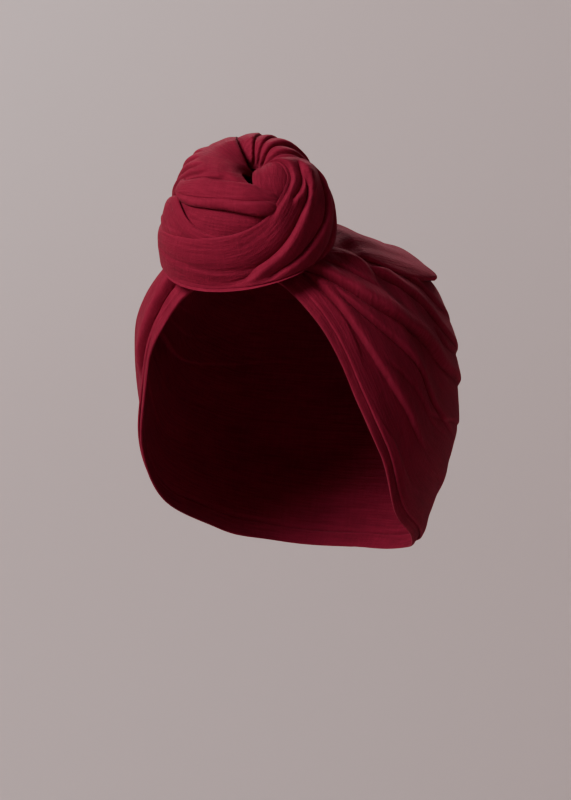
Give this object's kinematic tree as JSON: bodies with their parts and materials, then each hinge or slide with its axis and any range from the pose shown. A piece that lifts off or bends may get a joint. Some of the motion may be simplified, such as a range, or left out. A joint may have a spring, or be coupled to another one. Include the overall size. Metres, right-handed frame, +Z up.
{
  "type": "turban headwrap",
  "caption": "Soft cloth turban laid in folds round the head, open at the face and neck, with its gathered ends wound into a hollow rosette knot above the forehead.",
  "frame": {"origin": "where the top of the head meets the inside of the crown", "axes": "+Z up along the head, -Y towards the face opening, +X towards the wearer's left"},
  "size_m": [0.1621, 0.2017, 0.2231],
  "materials": {
    "cloth": "matte crimson woven viscose with fine slubs"
  },
  "bodies": {
    "root": {"head_wrap": "cloth", "front_hem": "cloth", "crown_fold": "cloth", "knot_core": "cloth", "outer_wind": "cloth", "middle_wind": "cloth", "side_fold": "cloth", "inner_wind": "cloth", "crest_wind": "cloth", "rear_wind": "cloth", "tucked_end": "cloth"}
  },
  "joints": []
}
